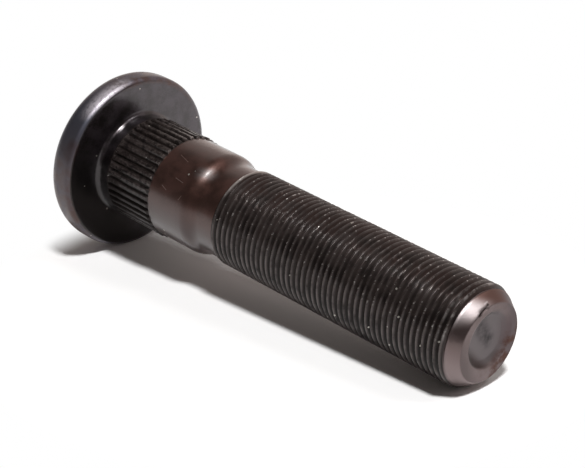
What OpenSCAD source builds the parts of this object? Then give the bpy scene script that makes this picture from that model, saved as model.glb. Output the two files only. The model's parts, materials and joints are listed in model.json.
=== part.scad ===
/* [Head] */
// Diameter of the head over its rim
head_d = 40.9; // [36:0.1:46]
// Thickness of the head, from its outer face to its underside
head_h = 7.7; // [6.5:0.1:10]
// Radius that rounds the rim into the outer face
head_outer_r = 4; // [2:0.1:4.5]
// Radius of the edge between the rim and the underside
head_under_r = 1.2; // [0.5:0.1:1.8]

/* [Shank] */
// Diameter of the plain shank
shank_d = 23.4; // [23:0.1:24]
// Radius of the fillet between the head's underside and the shank
root_r = 1.2; // [0.5:0.1:1.8]
// Length of the plain shank, from the knurl to where the cone of the shoulder would start
shank_len = 11.2; // [4:0.1:14]
// Half angle of the cone of the shoulder
cone_deg = 30; // [16:0.5:35]
// Radius that rounds the shank into the cone
cone_top_r = 4; // [2:0.5:4.5]
// Radius that blends the cone into the neck
cone_foot_r = 5; // [2:0.5:6]
// Diameter of the neck between the shoulder and the thread
neck_d = 20.8; // [20:0.1:20.9]
// Length of the neck
neck_len = 5.72; // [1.3:0.02:9]

/* [Knurl] */
// Height of the knurl's crests over the plain shank
crest_h = 0.4; // [0.2:0.05:0.6]
// Depth of the grooves below the plain shank
groove_depth = 0.25; // [0.1:0.05:0.5]
// Number of grooves
groove_count = 43; // [30:1:48]
// Share of the pitch that a groove takes at its mouth
groove_share = 0.6; // [0.45:0.05:0.7]
// Width of the flat at the bottom of a groove
groove_floor = 0.3; // [0.2:0.05:0.5]
// Turn of the first groove about the axis
groove_turn = -23.8; // [-180:0.1:180]
// Distance from the head's underside to the knurl
knurl_gap = 3.4; // [2:0.1:6]
// Length of the knurl along the shank
knurl_len = 13.8; // [8:0.1:20]

/* [Thread] */
// Major diameter of the threaded end
thread_d = 22; // [21.5:0.1:22.6]
// Length of the threaded end, with its chamfer
thread_len = 68.8; // [40:0.1:90]
// Length of the cone that leads from the neck up to the first crest
lead_in = 0.7; // [0.4:0.1:1.5]
// Diameter of the end face inside the chamfer
end_d = 17.1; // [15.6:0.1:19]
// Angle of the chamfer from the axis
chamfer_deg = 45; // [30:1:60]
// Radius of the edge between the chamfer and the end face
end_edge_r = 0.4; // [0.2:0.1:0.8]

/* [End dish] */
// Diameter of the dish at the end face
dish_d = 12.9; // [11:0.1:13.5]
// Diameter of the dish where its wall meets the floor
dish_floor_d = 9.7; // [6:0.1:10]
// Depth of the dish
dish_depth = 0.9; // [0.4:0.1:1.5]
// Radius between the wall of the dish and its floor
dish_r = 0.8; // [0.3:0.1:1]
// How far the dish sits off the axis
dish_off = 0.6; // [0:0.1:0.8]

/* [Nick] */
// Turn of the nick about the axis
nick_turn = -63; // [-180:1:180]
// Radius of the scoop that the nick is cut with
nick_r = 2; // [0.8:0.1:2.5]
// Depth of the nick at the edge of the end face
nick_depth = 0.4; // [0.2:0.05:0.6]
// How far the nick reaches into the end face
nick_reach = 0.35; // [0.1:0.05:0.6]

/* [Hidden] */
$fn = 96;
// Overlap that lets neighbouring solids join
lap = 0.01;
// How far a cutter stands out of what it cuts
clear = 1;

head_rad = head_d / 2;
shank_rad = shank_d / 2;
neck_rad = neck_d / 2;
thread_rad = thread_d / 2;
end_rad = end_d / 2;
knurl_rad = shank_rad + crest_h;
groove_rad = shank_rad - groove_depth;

z_knurl = head_h + knurl_gap;
z_knurl_end = z_knurl + knurl_len;
z_shoulder = z_knurl_end + shank_len;
z_neck = z_shoulder + (shank_rad - neck_rad) / tan(cone_deg);
z_thread = z_neck + neck_len;
z_end = z_thread + thread_len;
z_chamfer = z_end - (thread_rad - end_rad) / tan(chamfer_deg);

function toward(deg) = [cos(deg), sin(deg)];

// The web between a corner and the arc of radius r that touches both of its sides.
// The sides leave the corner at the angles a and b. An outer corner loses its web,
// and an inner corner gains it.
module web(corner, a, b, r) {
    half = abs(b - a) / 2;
    run = r / tan(half);
    middle = toward((a + b) / 2);
    difference() {
        polygon([corner, corner + run * toward(a), corner + run * toward(b)]);
        translate(corner + r / sin(half) * middle) circle(r);
    }
}

// Half section of the forged head, with the fillet at its root
module head_section() {
    difference() {
        square([head_rad, head_h]);
        web([head_rad, 0], 90, 180, head_outer_r);
        web([head_rad, head_h], 180, 270, head_under_r);
    }
    web([shank_rad, head_h], 0, 90, root_r);
}

// Half section of the plain shank, the shoulder and the neck
module shank_section() {
    difference() {
        polygon([
            [0, head_h - lap], [shank_rad, head_h - lap], [shank_rad, z_shoulder],
            [neck_rad, z_neck], [neck_rad, z_thread + lap], [0, z_thread + lap]
        ]);
        web([shank_rad, z_shoulder], 90 + cone_deg, 270, cone_top_r);
    }
    web([neck_rad, z_neck], -90 + cone_deg, 90, cone_foot_r);
}

// Half section of the raised band that the grooves are pressed into
module knurl_section() {
    polygon([
        [0, z_knurl], [shank_rad, z_knurl], [knurl_rad, z_knurl + crest_h],
        [knurl_rad, z_knurl_end - crest_h], [shank_rad, z_knurl_end], [0, z_knurl_end]
    ]);
}

// Half section of the threaded end at its major diameter
module thread_section() {
    difference() {
        polygon([
            [0, z_thread], [neck_rad, z_thread], [thread_rad, z_thread + lead_in],
            [thread_rad, z_chamfer], [end_rad, z_end], [0, z_end]
        ]);
        web([end_rad, z_end], 180, 270 + chamfer_deg, end_edge_r);
    }
}

// Ring of straight grooves, each a trapezium in section
module grooves() {
    pitch = 360 / groove_count;
    mouth_rad = knurl_rad + clear;
    slope = (knurl_rad * sin(pitch * groove_share) - groove_floor)
        / (knurl_rad - groove_rad) / 2;
    mouth = groove_floor / 2 + slope * (mouth_rad - groove_rad);
    translate([0, 0, z_knurl])
        linear_extrude(knurl_len)
            for (i = [0 : groove_count - 1])
                rotate(groove_turn + i * pitch)
                    polygon([
                        [groove_rad, -groove_floor / 2], [mouth_rad, -mouth],
                        [mouth_rad, mouth], [groove_rad, groove_floor / 2]
                    ]);
}

// Shallow dish that the forging punch leaves in the end face, a little off the axis
module end_dish() {
    floor_rad = dish_floor_d / 2;
    rim_rad = dish_d / 2;
    wall_deg = atan2(dish_depth, rim_rad - floor_rad);
    translate([0, -dish_off, z_end])
        rotate_extrude()
            difference() {
                polygon([
                    [0, -dish_depth], [floor_rad, -dish_depth], [rim_rad, 0],
                    [rim_rad, clear], [0, clear]
                ]);
                web([floor_rad, -dish_depth], wall_deg, 180, dish_r);
            }
}

// Small nick knocked into the edge of the end face
module nick() {
    rotate(nick_turn)
        translate([end_rad - nick_reach, 0, z_end + nick_r - nick_depth])
            rotate([0, 90, 0])
                cylinder(h = thread_rad, r = nick_r);
}

module wheel_stud() {
    color([0.2, 0.17, 0.16])
        difference() {
            rotate_extrude() {
                head_section();
                shank_section();
                knurl_section();
                thread_section();
            }
            grooves();
            end_dish();
            nick();
        }
}

wheel_stud();
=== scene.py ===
import json
import math

import bpy
import numpy as np
from mathutils import Matrix, Vector


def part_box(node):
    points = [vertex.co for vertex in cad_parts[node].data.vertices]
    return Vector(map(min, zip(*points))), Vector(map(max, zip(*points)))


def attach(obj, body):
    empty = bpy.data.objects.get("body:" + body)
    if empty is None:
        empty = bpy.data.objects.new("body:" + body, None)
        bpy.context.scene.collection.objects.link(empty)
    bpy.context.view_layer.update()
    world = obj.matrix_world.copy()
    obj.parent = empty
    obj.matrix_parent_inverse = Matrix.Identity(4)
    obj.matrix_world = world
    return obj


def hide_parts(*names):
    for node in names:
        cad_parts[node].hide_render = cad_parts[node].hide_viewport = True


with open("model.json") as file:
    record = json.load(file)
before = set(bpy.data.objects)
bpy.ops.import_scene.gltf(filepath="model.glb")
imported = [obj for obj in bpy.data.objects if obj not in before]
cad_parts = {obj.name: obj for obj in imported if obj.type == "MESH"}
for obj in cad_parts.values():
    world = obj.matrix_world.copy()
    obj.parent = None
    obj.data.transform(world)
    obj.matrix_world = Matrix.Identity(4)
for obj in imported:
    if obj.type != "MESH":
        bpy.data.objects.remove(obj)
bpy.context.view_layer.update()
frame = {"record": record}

# Sizes in millimetres, from the frame where it has them
MM = 0.001
far_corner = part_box("wheel_stud")[1]
mounts = {mount["name"]: mount for mount in frame["record"]["mounts"]}


def reach(name):
    """(start, end, radius) in mm of a round mount that lies on the axis."""
    middle = mounts[name]["pos_m"][2] / MM
    dims = mounts[name]["dims"]
    half = dims["length_mm"] / 2
    return middle - half, middle + half, dims["r_mm"]


HEAD_RAD = far_corner.x / MM
STUD_END = far_corner.z / MM
HEAD_H = mounts["hub_seat"]["pos_m"][2] / MM
KNURL_START, KNURL_END, KNURL_RAD = reach("knurl")
SHANK_END, SHANK_RAD = reach("shank")[1:]
CREST_START, CHAMFER_START, THREAD_RAD = reach("thread")

# Radii of the head's edges and of the fillet at its root
HEAD_OUTER_R, HEAD_UNDER_R, ROOT_R = 4.0, 1.2, 1.2

# Shoulder: radius into the cone, half angle of the cone, radius out of it, radius of the neck
SHOULDER_R, CONE_DEG, CONE_FOOT_R, NECK_RAD = 4.0, 30.0, 5.0, 10.4

# End face. The solid's chamfer is at 45 degrees, so the thread's radius less its length is the face's.
# The chamfer here is at 35 degrees from the axis and meets the face at the same edge. CHAMFER_RUN is what
# its radius gains for each mm away from the face.
END_RAD = THREAD_RAD - (STUD_END - CHAMFER_START)
CHAMFER_RUN, END_EDGE_R = math.tan(math.radians(35)), 0.4

# Rolled thread: pitch, depth, half angle of the flanks, flat of the crest as a share of the pitch
PITCH, THREAD_DEPTH, FLANK_DEG, CREST_FLAT = 1.5, 0.92, 30.0, 0.125
# The crests lie a little inside the solid. Height of the first turn's crest, and length of the lead-in
CREST_RAD = THREAD_RAD - 0.03
CREST_PHASE, LEAD_IN = 1.4625, 0.7
THREAD_START = CREST_START - LEAD_IN
THREAD_STOP = STUD_END - (CREST_RAD - THREAD_DEPTH - END_RAD) / CHAMFER_RUN

# Length over which the crest rises, where it fades into the chamfer, and what is near enough to a ring
CREST_RISE, FADE_FROM, FADE_TO, RING_GAP = 0.3, 0.9, 0.2, 0.02
# Nicks of the crests: how rare deep ones are, the deepest, and the spread of the rest
NICK_RARITY, DEEPEST_NICK, CREST_SPREAD = 40, 0.16, 0.008

# Pressed knurl, and its rows in mm from its start, close together where it rises and ends
GROOVES, GROOVE_RAD, GROOVE_TURN = 43, 11.45, math.radians(-23.8)
KNURL_ROWS = np.concatenate([[0, 0.4], np.linspace(0.9, 12.1, 17), [12.8, 13.15, 13.4, 13.8]])
KNURL_RISEN, KNURL_FALLS = 0.4, 13.4
# Ridges: spread of their heights and of their dents, and the wave along them: its size, its turn for each
# mm, and its start for each mm of a ridge's height
RIDGE_SPREAD, DENT_SPREAD, WAVE, WAVE_TURN, WAVE_START = 0.035, 0.045, 0.02, 1.7, 40
# Burrs: how far they stand out and run on, and where along the knurl they lean, begin and are whole
BURR_OUT, BURR_RUN, BURR_LEANS, BURR_BEGINS, BURR_WHOLE = 0.14, 0.3, 12, 12.4, 13.2

# Dish in the end face: radii of rim and floor, and how far each sits off the axis
DISH_RIM, DISH_FLOOR, DISH_DEPTH, DISH_R = 6.46, 4.85, 0.9, 0.8
RIM_SHIFT, FLOOR_SHIFT = np.array([-0.2, -0.63]), np.array([0.2, -0.86])
# Radius that rounds the dish into the face, and radius of its innermost ring
DISH_LIP_R, DISH_MIDDLE_R = 0.6, 0.3
# How far inside the face's edge the rings start to slide, and where they have slid all the way
SLIDE_START, SLIDE_END = 0.1, 0.6
# Nick at the face's edge: turn, radius, depth, reach, and rise of its inner wall for each mm
NICK_TURN, NICK_R, NICK_DEPTH, NICK_REACH, NICK_WALL = math.radians(-70), 5.0, 0.35, 0.3, 4
# Step from the thread's last ring to the chamfer's first, and radius of the head's innermost ring
CHAMFER_STEP, HEAD_MIDDLE_R = 0.06, 1.5
# Length of plain shank that is left at each end of the knurl
KNURL_MARGIN = 0.3
# Edges sharper than this are shaded as edges
EDGE_DEG = 38

# Points round the stud, and the finish of each zone
COARSE, END_FINE = GROOVES * 3, GROOVES * 6
HEAD, KNURL, SHANK, THREAD, END = range(5)
chance = np.random.default_rng(7)


def unit(v):
    """v over its own length."""
    return v / np.linalg.norm(v)


def fillet(before, corner, after, radius, steps):
    """Arc of that radius which touches both sides of a corner. It starts radius / tan(half the corner's
    angle) from the corner, and turns from one touching point to the other in equal steps."""
    a, b = unit(before - corner), unit(after - corner)
    half = math.acos(np.clip(a @ b, -1, 1)) / 2
    middle = corner + radius / math.sin(half) * unit(a + b)
    first, last = (corner + radius / math.tan(half) * way - middle for way in (a, b))
    turn = math.pi - 2 * half
    t = np.linspace(0, 1, steps + 1)[:, None]
    return middle + (np.sin((1 - t) * turn) * first + np.sin(t * turn) * last) / math.sin(turn)


def profile(corners, radii, arc_step, straight_step):
    """Half section as (radius, height) rows: each corner becomes its fillet, and the straight parts between
    are divided evenly into pieces no longer than straight_step."""
    corners = [np.array(c, float) for c in corners]
    parts = [corners[0][None]]
    for before, corner, after, radius in zip(corners, corners[1:], corners[2:], radii):
        if radius:
            turn = math.acos(np.clip(unit(corner - before) @ unit(after - corner), -1, 1))
            parts.append(fillet(before, corner, after, radius, max(3, round(radius * turn / arc_step))))
        else:
            parts.append(corner[None])
    parts.append(corners[-1][None])
    rows = np.concatenate(parts)
    gaps = np.linalg.norm(np.diff(rows, axis=0), axis=1)
    counts = np.maximum(1, np.ceil(gaps / straight_step)).astype(int)
    filled = [rows[i] + (rows[i + 1] - rows[i]) * (np.arange(n) / n)[:, None] for i, n in enumerate(counts)]
    return np.concatenate([*filled, rows[-1:]])


def angles(count):
    """Equal angles round the axis, from the middle of the first groove."""
    return GROOVE_TURN + np.arange(count) * (2 * math.pi / count)


def lathe(rows, around, shift=0.0):
    """Grid of points: row (r, z) at angle a is (shift x + r cos a, shift y + r sin a, z)."""
    r, z = rows[:, :1], rows[:, 1:2]
    sx, sy = (np.broadcast_to(shift, (len(rows), 2))[:, i : i + 1] for i in (0, 1))
    return np.stack([sx + r * np.cos(around), sy + r * np.sin(around), z + 0 * r * around], axis=-1)


def smooth(x, start, end):
    """0 before start, 1 after end, and 3 t^2 - 2 t^3 between them."""
    t = np.clip((x - start) / (end - start), 0, 1)
    return t * t * (3 - 2 * t)


class Skin:
    """Rings of points and the triangles between them, which close into one surface."""

    def __init__(self):
        self.points, self.triangles, self.zones, self.count = [], [], [], 0

    def add(self, grid):
        """Takes a grid of points and returns their numbers as a grid."""
        numbers = self.count + np.arange(grid[..., 0].size).reshape(grid.shape[:-1])
        self.points.append(grid.reshape(-1, 3))
        self.count += numbers.size
        return numbers

    def triangle(self, a, b, c, zone):
        """Triangles with corners a, b, c. One with a corner twice is left out."""
        made = np.stack([x.ravel() for x in np.broadcast_arrays(a, b, c)], axis=1)
        made = made[(made[:, 0] != made[:, 1]) & (made[:, 1] != made[:, 2]) & (made[:, 2] != made[:, 0])]
        self.triangles.append(made)
        self.zones.append(np.full(len(made), zone))

    def fields(self, near, far, near_up, far_up, zone):
        """Four-cornered fields as two triangles each."""
        self.triangle(near, far, far_up, zone)
        self.triangle(near, far_up, near_up, zone)

    def rings(self, grid, zone):
        """Fields between the neighbouring rings of a grid, each ring closed on its first point."""
        turned = np.roll(grid, -1, axis=1)
        self.fields(grid[:-1], turned[:-1], grid[1:], turned[1:], zone)

    def widen(self, few, many, zone, up=True):
        """Triangles between a ring of n points and one of k n points, whose every k-th point is above one of
        the n. The first half of each k edges meets the point they start at, the rest meets the next one."""
        k = many.size // few.size
        following, after = np.roll(few, -1), np.roll(many, -1)
        for i in range(k):
            corner = few if i < k // 2 else following
            ends = (after[i::k], many[i::k]) if up else (many[i::k], after[i::k])
            self.triangle(corner, *ends, zone)
        ends = (few, following) if up else (following, few)
        self.triangle(*ends, many[k // 2 :: k], zone)

    def cap(self, ring, middle, zone, up=True):
        """Fan of triangles from a ring to its middle point."""
        tip = self.add(np.array([middle], float))[0]
        following = np.roll(ring, -1)
        self.triangle(tip, *((ring, following) if up else (following, ring)), zone)

    def mesh(self, name, finishes):
        """Mesh object of the triangles, without the points that none of them uses."""
        triangles = np.concatenate(self.triangles)
        used, numbers = np.unique(triangles, return_inverse=True)
        data = bpy.data.meshes.new(name)
        points = np.concatenate(self.points)[used] * MM
        data.from_pydata(points.tolist(), [], numbers.reshape(-1, 3).tolist())
        for finish in finishes:
            data.materials.append(finish)
        data.polygons.foreach_set("material_index", np.concatenate(self.zones).astype(np.int32))
        data.shade_smooth()
        data.set_sharp_from_angle(angle=math.radians(EDGE_DEG))
        data.update()
        piece = bpy.data.objects.new(name, data)
        bpy.context.scene.collection.objects.link(piece)
        return piece


# Rows of the thread within a pitch, as shares of it from the middle of the crest
THREAD_ROWS = np.array([-0.05, 0.05, 0.085, 0.39, 0.45, 0.55, 0.61, 0.915])


def rolled_thread(skin, start, stop):
    """Right-hand thread between two rings. Row t of turn k is at height phase + pitch (k + t + a / 2 pi) for
    the angle a, so after one turn it runs into the same row of turn k + 1. The radius is the crest's, less
    the run along the flank past the crest's flat over tan(flank), at most the thread's depth. It grows out
    of the neck at the start. At the end it stays inside the chamfer's cone and fades into it. Points past
    either ring become points of that ring."""
    a = angles(COARSE)
    first = math.floor((THREAD_START - CREST_PHASE) / PITCH) - 2
    turns = np.arange(first, math.ceil((THREAD_STOP - CREST_PHASE) / PITCH) + 2)
    t = np.tile(THREAD_ROWS, len(turns))
    turn = np.repeat(turns, len(THREAD_ROWS))
    z = CREST_PHASE + PITCH * ((turn + t)[:, None] + a / (2 * math.pi))
    off_crest = np.abs((t + 0.5) % 1 - 0.5) - CREST_FLAT / 2
    depth = np.clip(off_crest * PITCH / math.tan(math.radians(FLANK_DEG)), 0, THREAD_DEPTH)[:, None]
    nicks = chance.random((len(turns), COARSE)) ** NICK_RARITY * DEEPEST_NICK
    nicks = nicks + chance.normal(0, CREST_SPREAD, (len(turns), COARSE))
    r = CREST_RAD - np.maximum(depth, np.repeat(nicks, len(THREAD_ROWS), axis=0))
    into_crest = smooth(z, THREAD_START, THREAD_START + CREST_RISE)
    into_root = smooth(z, THREAD_START, THREAD_START + PITCH)
    r = NECK_RAD + (r - NECK_RAD) * np.where(r > NECK_RAD, into_crest, into_root)
    cone = END_RAD + (STUD_END - z) * CHAMFER_RUN
    r = np.minimum(r, cone)
    r = r + (cone - r) * smooth(z, THREAD_STOP - FADE_FROM, THREAD_STOP - FADE_TO)
    own = skin.add(np.stack([r * np.cos(a), r * np.sin(a), z], axis=-1))
    grid = np.where(z > THREAD_STOP - RING_GAP, stop, own)
    grid = np.where(z < THREAD_START + RING_GAP, start, grid)
    per_turn = len(THREAD_ROWS)
    seam = np.concatenate([grid[per_turn:, 0], np.full(per_turn, stop[0])])
    right = np.concatenate([grid[:, 1:], seam[:, None]], axis=1)
    skin.fields(grid[:-1], right[:-1], grid[1:], right[1:], THREAD)


# Places across a groove's pitch, and how far each rises from the groove's floor to the land
KNURL_PLACES = np.array([0, 0.085, 0.285, 0.333, 0.43, 0.57, 0.667, 0.715, 0.915])
KNURL_RISE = np.array([0, 0, 0.93, 1, 1, 1, 1, 0.93, 0])


def pressed_knurl():
    """Grid of points of the knurl. The angle is the groove's number plus the place across it, times the
    pitch. The radius goes from floor to land across the groove, and from the shank to that at both ends.
    Each ridge has its own height and small dents, and ends in its own small burr at the shank's side."""
    place = (np.arange(GROOVES)[:, None] + KNURL_PLACES).ravel()
    a = GROOVE_TURN + place * 2 * math.pi / GROOVES
    rise = np.tile(KNURL_RISE, GROOVES)
    height = np.repeat(chance.normal(0, RIDGE_SPREAD, GROOVES), len(KNURL_PLACES))
    burr = np.repeat(chance.random(GROOVES), len(KNURL_PLACES)) * rise
    along, length = KNURL_ROWS[:, None], KNURL_ROWS[-1]
    z = KNURL_START + along * (KNURL_END - KNURL_START) / length
    wave = WAVE * np.sin(along * WAVE_TURN + WAVE_START * height) * rise
    dents = np.abs(chance.normal(0, DENT_SPREAD, (len(along), GROOVES)))
    wave = wave - dents.repeat(len(KNURL_PLACES), axis=1) * rise
    ridge = GROOVE_RAD + (KNURL_RAD - GROOVE_RAD + np.minimum(height, 0)) * rise + wave
    ridge = ridge + BURR_OUT * burr * smooth(along, BURR_BEGINS, BURR_WHOLE)
    fall = smooth(along, length, KNURL_FALLS)
    inside = smooth(along, 0, KNURL_RISEN) * fall
    r = SHANK_RAD + (ridge - SHANK_RAD) * inside
    z = z + (burr - 0.5) * BURR_RUN * rise * smooth(along, BURR_LEANS, KNURL_FALLS) * fall
    return np.stack([r * np.cos(a), r * np.sin(a), z], axis=-1)


def stud_end():
    """Grid of points from the thread's end over the chamfer and the face into the dish. The rings of the
    dish slide off the axis with depth. A scoop with a level axis lowers what it meets at the edge."""
    chamfer_foot = (CREST_RAD - THREAD_DEPTH - CHAMFER_STEP, THREAD_STOP + CHAMFER_STEP / CHAMFER_RUN)
    floor_z = STUD_END - DISH_DEPTH
    rows = profile(
        [
            chamfer_foot, (END_RAD, STUD_END), (DISH_RIM, STUD_END), (DISH_FLOOR, floor_z),
            (DISH_MIDDLE_R, floor_z),
        ],
        [END_EDGE_R, DISH_LIP_R, DISH_R], arc_step=0.08, straight_step=0.4,
    )
    into_face = smooth(END_RAD - SLIDE_START - rows[:, :1], 0, END_RAD - SLIDE_END - DISH_RIM)
    deep = np.clip((STUD_END - rows[:, 1:]) / DISH_DEPTH, 0, 1)
    shift = into_face * (RIM_SHIFT + (FLOOR_SHIFT - RIM_SHIFT) * deep)
    grid = lathe(rows, angles(END_FINE), shift)
    along = grid[..., 0] * math.cos(NICK_TURN) + grid[..., 1] * math.sin(NICK_TURN)
    across = grid[..., 1] * math.cos(NICK_TURN) - grid[..., 0] * math.sin(NICK_TURN)
    scoop = STUD_END + NICK_R - NICK_DEPTH - np.sqrt(np.maximum(NICK_R**2 - across**2, 0))
    scoop = scoop + NICK_WALL * np.maximum(END_RAD - NICK_REACH - along, 0)
    grid[..., 2] = np.minimum(grid[..., 2], np.where(np.abs(across) < NICK_R, scoop, STUD_END))
    return grid


def stud(finishes):
    """The stud's whole skin, from the middle of the head's outer face to the middle of the dish."""
    skin = Skin()
    head_rows = profile(
        [
            (HEAD_MIDDLE_R, 0), (HEAD_RAD, 0), (HEAD_RAD, HEAD_H), (SHANK_RAD, HEAD_H),
            (SHANK_RAD, KNURL_START - KNURL_MARGIN),
        ],
        [HEAD_OUTER_R, HEAD_UNDER_R, ROOT_R], arc_step=0.3, straight_step=2.2,
    )
    head = skin.add(lathe(head_rows, angles(COARSE)))
    skin.cap(head[0], (0, 0, 0), HEAD, up=False)
    skin.rings(head, HEAD)

    knurl = skin.add(pressed_knurl())
    skin.widen(head[-1], knurl[0], KNURL)
    skin.rings(knurl, KNURL)

    cone = (SHANK_RAD - NECK_RAD) / math.tan(math.radians(CONE_DEG))
    shoulder = SHANK_END + SHOULDER_R * math.tan(math.radians(CONE_DEG / 2))
    shank_rows = profile(
        [
            (SHANK_RAD, KNURL_END + KNURL_MARGIN), (SHANK_RAD, shoulder), (NECK_RAD, shoulder + cone),
            (NECK_RAD, THREAD_START),
        ],
        [SHOULDER_R, CONE_FOOT_R], arc_step=0.5, straight_step=2.0,
    )
    shank = skin.add(lathe(shank_rows, angles(COARSE)))
    skin.widen(shank[0], knurl[-1], SHANK, up=False)
    skin.rings(shank, SHANK)

    stop_row = np.array([[CREST_RAD - THREAD_DEPTH, THREAD_STOP]])
    stop = skin.add(lathe(stop_row, angles(COARSE)))[0]
    rolled_thread(skin, shank[-1], stop)

    end = skin.add(stud_end())
    skin.widen(stop, end[0], END)
    skin.rings(end, END)
    skin.cap(end[-1], (*FLOOR_SHIFT, STUD_END - DISH_DEPTH), END)
    return skin.mesh("threaded_stud", finishes)


# Shader nodes
def put(tree, kind, sockets=None, **settings):
    """Adds a shader node. Sockets are given by name or number as a value or as what feeds them."""
    made = tree.nodes.new("ShaderNode" + kind)
    for name, value in settings.items():
        setattr(made, name, value)
    for name, value in (sockets or {}).items():
        if isinstance(value, bpy.types.NodeSocket):
            tree.links.new(value, made.inputs[name])
        else:
            made.inputs[name].default_value = value
    return made


def maths(tree, operation, *values):
    """Result of a Math node."""
    return put(tree, "Math", dict(enumerate(values)), operation=operation).outputs[0]


def ramp(tree, value, start, end, low=0.0, high=1.0):
    """Value taken smoothly from low at start to high at end."""
    places = {"From Min": start, "From Max": end, "To Min": low, "To Max": high}
    return put(tree, "MapRange", {"Value": value, **places}, interpolation_type="SMOOTHSTEP").outputs[0]


def blend_colour(tree, factor, a, b):
    """Colour a where the factor is 0, and b where it is 1."""
    return put(tree, "Mix", {0: factor, 6: a, 7: b}, data_type="RGBA").outputs[2]


def noise(tree, vector, per_metre, detail=3.0, roughness=0.55):
    """Grey noise around 0.5 with that many features a metre."""
    sockets = {"Vector": vector, "Scale": per_metre, "Detail": detail, "Roughness": roughness}
    return put(tree, "TexNoise", sockets).outputs[0]


def group(name, inputs, outputs):
    """Empty shader node group with named sockets, as (group, its inputs, its output node)."""
    made = bpy.data.node_groups.new(name, "ShaderNodeTree")
    for way, sockets in (("INPUT", inputs), ("OUTPUT", outputs)):
        for socket, (kind, value) in sockets.items():
            item = made.interface.new_socket(socket, in_out=way, socket_type="NodeSocket" + kind)
            if value is not None:
                item.default_value = value
    return made, made.nodes.new("NodeGroupInput").outputs, made.nodes.new("NodeGroupOutput")


def use(tree, made, sockets):
    """Outputs of a group placed in a material."""
    return put(tree, "Group", sockets, node_tree=made).outputs


def forged_skin():
    """Mottled skin of black oxide: two tones in soft blotches, and a fine grain that pits it."""
    tree, given, out = group(
        "forged skin",
        {
            "Vector": ("Vector", None), "Dark": ("Color", None), "Light": ("Color", None),
            "Blotches": ("Float", 260.0), "Grain": ("Float", 2600.0),
        },
        {"Color": ("Color", None), "Grain": ("Float", None), "Mottle": ("Float", None)},
    )
    blotch = noise(tree, given["Vector"], given["Blotches"], 4.0)
    grain = noise(tree, given["Vector"], given["Grain"], 2.0)
    mottle = ramp(tree, maths(tree, "ADD", maths(tree, "MULTIPLY", grain, 0.25), blotch), 0.48, 0.78)
    tree.links.new(blend_colour(tree, mottle, given["Dark"], given["Light"]), out.inputs["Color"])
    tree.links.new(grain, out.inputs["Grain"])
    tree.links.new(mottle, out.inputs["Mottle"])
    return tree


def wear_mask(name, inputs, formula):
    """Group that puts out one mask, which formula(tree, given) works out from a Vector and the inputs."""
    tree, given, out = group(name, {"Vector": ("Vector", None), **inputs}, {"Mask": ("Float", None)})
    tree.links.new(formula(tree, given), out.inputs["Mask"])
    return tree


def past_radius(tree, given):
    """0 nearer the stud's axis than Start, and 1 further out than End."""
    flat = put(tree, "VectorMath", {0: given["Vector"], 1: (1, 1, 0)}, operation="MULTIPLY").outputs[0]
    away = put(tree, "VectorMath", {0: flat}, operation="LENGTH").outputs["Value"]
    return ramp(tree, away, given["Start"], given["End"])


def on_side(tree, given):
    """0 where the place has less than Start along Direction, and 1 past End."""
    along = put(tree, "VectorMath", {0: given["Vector"], 1: given["Direction"]}, operation="DOT_PRODUCT")
    return ramp(tree, along.outputs["Value"], given["Start"], given["End"])


def in_patches(tree, given):
    """Noise with that many patches a metre: 0 where it is under Low, and 1 where it is over High."""
    return ramp(tree, noise(tree, given["Vector"], given["Patches"]), given["Low"], given["High"])


def by_stroke(tree, given):
    """1 on the straight line between two points, falling to 0 at half its Width away."""
    run = put(tree, "VectorMath", {0: given["To"], 1: given["From"]}, operation="SUBTRACT").outputs[0]
    way = put(tree, "VectorMath", {0: given["Vector"], 1: given["From"]}, operation="SUBTRACT").outputs[0]
    done, whole = (
        put(tree, "VectorMath", {0: v, 1: run}, operation="DOT_PRODUCT").outputs["Value"] for v in (way, run)
    )
    share = put(tree, "Clamp", {0: maths(tree, "DIVIDE", done, whole)}).outputs[0]
    nearest = put(tree, "VectorMath", {0: run, "Scale": share}, operation="SCALE").outputs[0]
    off = put(tree, "VectorMath", {0: way, 1: nearest}, operation="DISTANCE").outputs["Value"]
    return ramp(tree, off, maths(tree, "MULTIPLY", given["Width"], 0.5), 0.0)


def bright_specks():
    """Loose specks: small round spots at a share of the cells of a cell pattern."""
    tree, given, out = group(
        "bright specks",
        {
            "Vector": ("Vector", None), "Cells": ("Float", 900.0), "Share": ("Float", 0.05),
            "Size": ("Float", 0.2),
        },
        {"Mask": ("Float", None)},
    )
    cells = put(tree, "TexVoronoi", {"Vector": given["Vector"], "Scale": given["Cells"]})
    spot = maths(tree, "LESS_THAN", cells.outputs["Distance"], given["Size"])
    lot = put(tree, "SeparateColor", {0: cells.outputs["Color"]}).outputs[0]
    chosen = maths(tree, "LESS_THAN", lot, given["Share"])
    tree.links.new(maths(tree, "MULTIPLY", spot, chosen), out.inputs["Mask"])
    return tree


SKIN, SPECKS = forged_skin(), bright_specks()
SPAN = {"Start": ("Float", 0.0), "End": ("Float", 1.0)}
RING = wear_mask("past radius", SPAN, past_radius)
SIDE = wear_mask("on side", {"Direction": ("Vector", None), **SPAN}, on_side)
NOISE = {"Patches": ("Float", 700.0), "Low": ("Float", 0.4), "High": ("Float", 0.6)}
PATCH = wear_mask("in patches", NOISE, in_patches)
LINE = {"From": ("Vector", None), "To": ("Vector", None), "Width": ("Float", 0.001)}
STROKE = wear_mask("by stroke", LINE, by_stroke)


def ring(start, end):
    """Mask of what is further from the axis than start to end, in mm."""
    return RING, {"Start": start * MM, "End": end * MM}


def side(direction, start, end):
    """Mask of what is further along a direction than start to end, in mm."""
    return SIDE, {"Direction": Vector(direction).normalized(), "Start": start * MM, "End": end * MM}


def height(start, end):
    """Mask of what is higher over the head's face than start to end, in mm."""
    return side((0, 0, 1), start, end)


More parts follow.
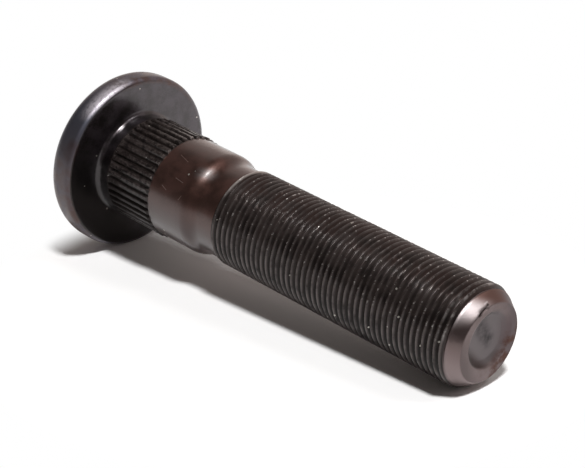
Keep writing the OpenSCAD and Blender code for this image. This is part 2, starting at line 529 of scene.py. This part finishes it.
def patches(per_metre, low=0.4, high=0.6):
    """Mask of noisy patches, which cover less with higher limits."""
    return PATCH, {"Patches": per_metre, "Low": low, "High": high}


def stroke(start, end, width):
    """Mask of a straight line between two points, in mm."""
    return STROKE, {"From": Vector(start) * MM, "To": Vector(end) * MM, "Width": width * MM}


# Loose dust, and depth of the grain
DUST, GRAIN_DEPTH = (0.45, 0.42, 0.38, 1), 0.00002


def oiled_steel(name, dark, light, roughness, layers=(), metal=0.9, coat=1.0, film=0.18, specks=0.02):
    """Black oxide under a film of oil: a rough dark metal with a clear coat. The layers hold wear, painted
    highlights and painted shade; each is (masks, colour, roughness, coat) and shows where all of its masks
    do. film is the coat's roughness."""
    material = bpy.data.materials.new(name)
    material.use_nodes = True
    tree = material.node_tree
    tree.nodes.clear()
    place = put(tree, "TexCoord").outputs["Object"]
    skin = use(tree, SKIN, {"Vector": place, "Dark": (*dark, 1), "Light": (*light, 1)})
    colour = skin["Color"]
    matt = ramp(tree, skin["Mottle"], 0, 1, roughness - 0.06, roughness + 0.08)
    oil = coat
    for masks, tone, tone_matt, tone_oil in layers:
        share = 1.0
        for mask, sockets in masks:
            share = maths(tree, "MULTIPLY", share, use(tree, mask, {"Vector": place, **sockets})["Mask"])
        colour = blend_colour(tree, share, colour, (*tone, 1))
        matt = put(tree, "Mix", {0: share, 2: matt, 3: tone_matt}).outputs[0]
        oil = put(tree, "Mix", {0: share, 2: oil, 3: tone_oil}).outputs[0]
    dust = use(tree, SPECKS, {"Vector": place, "Share": specks})["Mask"]
    colour = blend_colour(tree, dust, colour, DUST)
    bump = put(tree, "Bump", {"Strength": 0.6, "Distance": GRAIN_DEPTH, "Height": skin["Grain"]})
    shader = put(
        tree, "BsdfPrincipled",
        {
            "Base Color": colour, "Metallic": metal, "Roughness": matt, "Coat Weight": oil,
            "Coat Roughness": film, "Coat IOR": 1.5, "Normal": bump.outputs[0],
        },
    )
    tree.links.new(shader.outputs[0], put(tree, "OutputMaterial").inputs[0])
    return material


# Where wear, painted highlights and painted shade lie. The stud's -Y side is uppermost in the photograph.
# Painted highlight: the rim's side that faces the lamp.
painted_rim_highlight = side((0.44, -0.9, 0), 18.7, 20.3)
rim_blue = side((0.85, -0.5, 0), 17, 20)
# Painted glints: the thread's side that faces the lamp.
painted_glint_side = side((0.45, -0.9, 0), 6, 10)
brown_top = side((-0.3, -1, 0), 7, 9.3)
chamfer_start = height(109.9, 110.3)
rim, chamfer, dish = ring(19.6, 20.0), ring(8.4, 8.7), ring(7.9, 7.5)
# Painted shade: the side toward the table.
painted_shade_side = side((0.6, 0.8, 0), 3, 9.5)
# Painted reflection of the table: the chamfer's low side.
painted_table_reflection = side((0.5, 0.87, 0), 3, 8)
# Painted highlight: the chamfer's side that faces the lamp.
painted_chamfer_highlight = side((0.34, -0.94, 0), 7.3, 9.6)
# Tones of the chamfer: its own, a painted highlight, a brown patch, and a paler painted reflection of the
# table.
CHAMFER_TONE, PAINTED_HIGHLIGHT_TONE = (0.15, 0.115, 0.112), (0.43, 0.38, 0.38)
BROWN_TONE, PAINTED_REFLECTION_TONE = (0.145, 0.085, 0.073), (0.225, 0.18, 0.178)


def chamfer_wear_and_painted_light(where):
    """Layers of the chamfer, which the thread's zone and the end's share: its tone, a painted highlight
    band, the brown patch on top and the paler low side, which is a painted reflection of the table."""
    return [
        ([where], CHAMFER_TONE, 0.33, 0.0),
        # Painted highlight: a bright band on the chamfer's side that faces the lamp.
        ([where, painted_chamfer_highlight], PAINTED_HIGHLIGHT_TONE, 0.43, 0.0),
        ([where, brown_top], BROWN_TONE, 0.5, 0.0),
        # Painted reflection of the white table: a paler low side.
        ([where, painted_table_reflection], PAINTED_REFLECTION_TONE, 0.45, 0.0),
    ]


# Finishes, each with its layers of wear, painted highlights and painted shade
head_finish = oiled_steel(
    "blued head", (0.022, 0.017, 0.018), (0.054, 0.043, 0.051), 0.34,
    [
        # Painted shade: the face darker on the side where it mirrors the shank.
        ([side((0.8, 0.6, 0), 2, 14)], (0.014, 0.011, 0.011), 0.36, 0.7),
        ([rim], (0.145, 0.13, 0.152), 0.52, 0.2),
        ([rim, patches(2200, 0.42, 0.7)], (0.1, 0.09, 0.105), 0.56, 0.2),
        ([rim, rim_blue], (0.085, 0.087, 0.11), 0.52, 0.2),
        (
            [stroke((18.5, -8.5, 6.6), (20.2, -2.5, 5.8), 4.5), patches(500, 0.1, 0.5)],
            (0.05, 0.018, 0.016), 0.5, 0.1,
        ),
        # Painted highlight: a broad bright band on the rim beside the face's edge.
        ([rim, painted_rim_highlight, height(3.5, 6.5), patches(1500, 0.1, 0.6)], (0.66, 0.62, 0.67), 0.62, 0.3),
        # Painted shade: the rim darker toward +X.
        ([rim, side((0.95, 0.3, 0), 10, 19)], (0.095, 0.085, 0.097), 0.54, 0.2),
        (
            [ring(19.2, 19.8), side((1, 0.3, 0), 14, 20), patches(300, 0.3, 0.7)],
            (0.075, 0.045, 0.04), 0.5, 0.5,
        ),
        (
            [ring(18.8, 19.4), side((-0.4, -1, 0), 14, 19), patches(500, 0.3, 0.7)],
            (0.085, 0.05, 0.046), 0.5, 0.6,
        ),
    ],
)
knurl_finish = oiled_steel(
    "pressed knurl", (0.026, 0.018, 0.016), (0.048, 0.036, 0.033), 0.5,
    [
        ([ring(11.7, 12.05), patches(1300, 0.4, 0.65)], (0.085, 0.069, 0.065), 0.42, 0.8),
        ([patches(900, 0.5, 0.62)], (0.014, 0.01, 0.009), 0.55, 0.4),
        ([ring(11.85, 12.0), height(23.7, 24.3), patches(800, 0.5, 0.66)], (0.22, 0.19, 0.18), 0.4, 0.5),
        # Painted shade on the side toward the table.
        ([painted_shade_side], (0.02, 0.015, 0.014), 0.55, 0.25),
    ],
    metal=0.8, coat=0.6,
)
shank_finish = oiled_steel(
    "brown shank", (0.058, 0.024, 0.017), (0.082, 0.036, 0.028), 0.44,
    [
        # Painted shade on the side toward the table.
        ([painted_shade_side], (0.042, 0.024, 0.022), 0.42, 0.9),
        # A paler, scratched patch on the shoulder where the lamp's highlight falls, painted to whiten that
        # highlight.
        (
            [stroke((6.4, -9.6, 36.0), (5.2, -9.4, 38.0), 5.0), patches(900, 0.1, 0.6)],
            (0.1, 0.082, 0.079), 0.54, 0.35,
        ),
        ([stroke((9.15, -7.29, 31.0), (9.32, -7.08, 33.5), 0.3)], (0.25, 0.17, 0.15), 0.4, 0.6),
        ([stroke((10.6, -4.96, 28.2), (10.83, -4.43, 29.8), 0.3)], (0.22, 0.15, 0.13), 0.4, 0.6),
        ([stroke((5.08, -10.54, 27.9), (5.78, -10.17, 31.0), 0.3)], (0.22, 0.14, 0.12), 0.4, 0.6),
        ([stroke((11.09, -3.73, 34.1), (10.69, -4.75, 34.6), 0.25)], (0.2, 0.13, 0.11), 0.4, 0.6),
    ],
    metal=0.85, film=0.25,
)
thread_finish = oiled_steel(
    "rolled thread", (0.0205, 0.0148, 0.0135), (0.039, 0.0285, 0.026), 0.5,
    [
        ([side((0, -1, 0), 6.5, 11), patches(200, 0.35, 0.6)], (0.036, 0.021, 0.018), 0.5, 0.3),
        # Painted shade on the side toward the table.
        ([painted_shade_side], (0.0135, 0.011, 0.0105), 0.5, 0.2),
        ([ring(10.5, 10.93), patches(420, 0.2, 0.65)], (0.084, 0.069, 0.065), 0.45, 0.5),
        # Painted glints on the crests of the side that faces the lamp.
        ([ring(10.75, 10.95), painted_glint_side, patches(1300, 0.59, 0.68)], (0.6, 0.56, 0.54), 0.28, 1.0),
        # Painted highlight on the last crests before the chamfer, on the lamp's side.
        ([ring(10.4, 10.9), height(107.0, 109), painted_glint_side, patches(500)], (0.4, 0.37, 0.36), 0.35, 1.0),
        # Painted highlight on the first crest, where the thread starts, on its upper side.
        ([ring(10.5, 10.9), height(46.0, 45.2), side((0.1, -1, 0), 7.5, 10.5)], (0.4, 0.36, 0.34), 0.4, 0.8),
        *chamfer_wear_and_painted_light(chamfer_start),
    ],
    coat=0.35, film=0.25,
)
end_finish = oiled_steel(
    "turned end", (0.145, 0.112, 0.11), (0.21, 0.17, 0.168), 0.5,
    [
        ([side((0.9, 0.45, 0), 4, 8)], (0.12, 0.095, 0.094), 0.5, 0.0),
        *chamfer_wear_and_painted_light(chamfer),
        ([dish, height(STUD_END - 0.2, STUD_END - 0.6)], (0.135, 0.119, 0.122), 0.48, 0.0),
        # Painted shade on the dish's wall, on its side toward the table.
        (
            [dish, height(STUD_END, STUD_END - 0.3), side((0.7, 0.75, 0), 2.6, 5.2)],
            (0.04, 0.026, 0.024), 0.5, 0.0,
        ),
        ([side((-1, 0, 0), 2, 7)], (0.11, 0.085, 0.088), 0.5, 0.0),
        ([side((-0.8, 0.6, 0), 3.5, 6.5), patches(450, 0.42, 0.62)], (0.095, 0.048, 0.038), 0.6, 0.0),
        (
            [stroke((1.9, -3.6, 112), (-0.6, 0.0, 112), 5.5), patches(420, 0.2, 0.7)],
            (0.02, 0.017, 0.018), 0.5, 0.0,
        ),
        # Painted highlight on the lip beside the nick.
        ([stroke((2.0, -8.95, 112.1), (1.2, -9.1, 112.0), 0.6)], (0.4, 0.35, 0.35), 0.4, 0.0),
        # Painted shade in the nick at the face's edge.
        ([stroke((4.15, -7.3, 112.7), (1.4, -8.7, 112.4), 1.0)], (0.016, 0.011, 0.01), 0.6, 0.0),
        (
            [ring(8.15, 8.4), side((-1, 0.3, 0), 5, 8), patches(900, 0.3, 0.5)],
            (0.045, 0.028, 0.025), 0.6, 0.0,
        ),
    ],
    metal=1.0, coat=0.0, specks=0.0,
)
finishes = [head_finish, knurl_finish, shank_finish, thread_finish, end_finish]

piece = stud(finishes)
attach(piece, "root")
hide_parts("wheel_stud")

# Table: the stud lies on it on the edges of its head and its end. It is a sheet on the stud's +Y side.
TABLE_TILT, TABLE_AWAY = math.radians(5.27), 20.97 * MM
TABLE_UP = Vector((0, -math.cos(TABLE_TILT), -math.sin(TABLE_TILT)))
TABLE_AT = -TABLE_UP * TABLE_AWAY
MIDDLE = Vector((0, 0, STUD_END * MM / 2))

# The camera's place and what it looks at. It is level with the table.
CAMERA_AT = Vector((247.16, -170.36, 293.64)) * MM
AIM = Vector((-0.07, -1.43, 58.05)) * MM
TABLE_RIGHT = TABLE_UP.cross(CAMERA_AT - AIM).normalized()
TABLE_REAR = TABLE_UP.cross(TABLE_RIGHT)


def table(front, rear, beside):
    """Flat sheet with its edges at those distances from below the stud's middle, to the camera's side, away
    from it and to both sides."""
    foot = MIDDLE - TABLE_UP * ((MIDDLE - TABLE_AT).dot(TABLE_UP))
    corners = [(-front, -beside), (rear, -beside), (rear, beside), (-front, beside)]
    points = [foot + TABLE_REAR * along + TABLE_RIGHT * across for along, across in corners]
    data = bpy.data.meshes.new("table")
    data.from_pydata([tuple(point) for point in points], [], [(3, 2, 1, 0)])
    made = bpy.data.objects.new("table", data)
    bpy.context.scene.collection.objects.link(made)
    return made


# Paint of the table. How far from the stud it turns to plain white for the camera and for mirrored rays,
# and how far edge-on it is hidden
PAINT, WHITE = (0.98, 0.98, 0.98, 1), (1, 1, 1, 1)
SEEN_FADE, MIRRORED_FADE, EDGE_FADE = (0.063, 0.074), (0.10, 0.22), (0.92, 0.95)
FADE_MIDDLE = MIDDLE + Vector((0, 0, 4 * MM))


def table_finish():
    """White paint near the stud, which takes its shadow. Further out it turns to plain white for the camera,
    and further still for the rays that a finish mirrors. The camera sees through it from behind and from
    its edge."""
    material = bpy.data.materials.new("white table")
    material.use_nodes = True
    tree = material.node_tree
    tree.nodes.clear()
    place = put(tree, "TexCoord").outputs["Object"]
    away = put(tree, "VectorMath", {0: place, 1: FADE_MIDDLE}, operation="DISTANCE").outputs["Value"]
    path = put(tree, "LightPath").outputs
    seen = maths(tree, "MULTIPLY", path["Is Camera Ray"], ramp(tree, away, *SEEN_FADE))
    mirrored = maths(tree, "MAXIMUM", path["Is Glossy Ray"], path["Is Transmission Ray"])
    mirrored = maths(tree, "MULTIPLY", mirrored, ramp(tree, away, *MIRRORED_FADE))
    paint = put(tree, "BsdfDiffuse", {"Color": PAINT}).outputs[0]
    white = put(tree, "Emission", {"Color": WHITE, "Strength": 1.0}).outputs[0]
    far = maths(tree, "MAXIMUM", seen, mirrored)
    front = put(tree, "MixShader", {0: far, 1: paint, 2: white}).outputs[0]
    clear = put(tree, "BsdfTransparent").outputs[0]
    behind = put(tree, "NewGeometry").outputs["Backfacing"]
    edge_on = ramp(tree, put(tree, "LayerWeight").outputs["Facing"], *EDGE_FADE)
    hidden = maths(tree, "MULTIPLY", maths(tree, "MAXIMUM", behind, edge_on), path["Is Camera Ray"])
    both = put(tree, "MixShader", {0: hidden, 1: front, 2: clear}).outputs[0]
    tree.links.new(both, put(tree, "OutputMaterial").inputs[0])
    return material


floor = table(front=0.22, rear=3.0, beside=2.0)
floor.data.materials.append(table_finish())

# World: white behind everything. What the finishes mirror is white at the horizon behind and to the right,
# grey over it, and dark elsewhere.
world = bpy.data.worlds.new("studio")
bpy.context.scene.world = world
world.use_nodes = True
tree = world.node_tree
tree.nodes.clear()
direction = put(tree, "TexCoord").outputs["Generated"]


def towards(way):
    """Dot product of the direction that is looked in and another."""
    return put(tree, "VectorMath", {0: direction, 1: way}, operation="DOT_PRODUCT").outputs["Value"]


# The white wall's direction, the level of what it leaves dark, and the warm tint of all that is mirrored
WALL_WAY = TABLE_REAR * 0.8 + TABLE_RIGHT * 0.5
DARKEST, WARM = 0.1, (1.0, 0.88, 0.83, 1)
above = towards(TABLE_UP)
wall = ramp(tree, towards(WALL_WAY), 0.1, 0.6)
horizon = ramp(tree, above, 0.1, 0.45, 1.0, 0.5)
glow = maths(tree, "MULTIPLY", horizon, ramp(tree, above, 0.7, 0.95, 1.0, 0.0))
dim = ramp(tree, maths(tree, "MULTIPLY", wall, glow), 0.0, 1.0, DARKEST, 1.0)
seen = put(tree, "LightPath").outputs["Is Camera Ray"]
tint = blend_colour(tree, seen, WARM, WHITE)
sky = put(tree, "Background", {"Color": tint, "Strength": maths(tree, "MAXIMUM", seen, dim)}).outputs[0]
tree.links.new(sky, put(tree, "OutputWorld").inputs[0])


def soft_lamp(name, toward, distance, width, watts):
    """Round area lamp at a distance from the stud's middle, aimed at it."""
    lamp = bpy.data.lights.new(name, "AREA")
    lamp.shape, lamp.size, lamp.energy = "DISK", width, watts
    made = bpy.data.objects.new(name, lamp)
    toward = Vector(toward).normalized()
    made.location = MIDDLE + toward * distance
    made.rotation_mode = "QUATERNION"
    made.rotation_quaternion = toward.to_track_quat("Z", "Y")
    bpy.context.scene.collection.objects.link(made)


soft_lamp("overhead lamp", (0.173, -0.95, 0.262), 2.0, 0.3, 38)
soft_lamp("end lamp", (-0.333, -0.843, 0.424), 2.0, 0.4, 4)

# Camera at the photograph's place
PHOTO_WIDTH, FOCAL_PIXELS, SENSOR_WIDTH = 585, 1795.2, 36
camera = bpy.data.objects.new("camera", bpy.data.cameras.new("camera"))
camera.data.sensor_width = SENSOR_WIDTH
camera.data.lens = SENSOR_WIDTH * FOCAL_PIXELS / PHOTO_WIDTH
camera.data.shift_x, camera.data.shift_y = 0.0012, 0.0019
camera.data.clip_start, camera.data.clip_end = 0.01, 20
back = (CAMERA_AT - AIM).normalized()
turn = Matrix((TABLE_RIGHT, back.cross(TABLE_RIGHT), back)).transposed().to_4x4()
camera.matrix_world = Matrix.Translation(CAMERA_AT) @ turn
bpy.context.scene.collection.objects.link(camera)
bpy.context.scene.camera = camera

bpy.context.scene.view_settings.view_transform = "Standard"
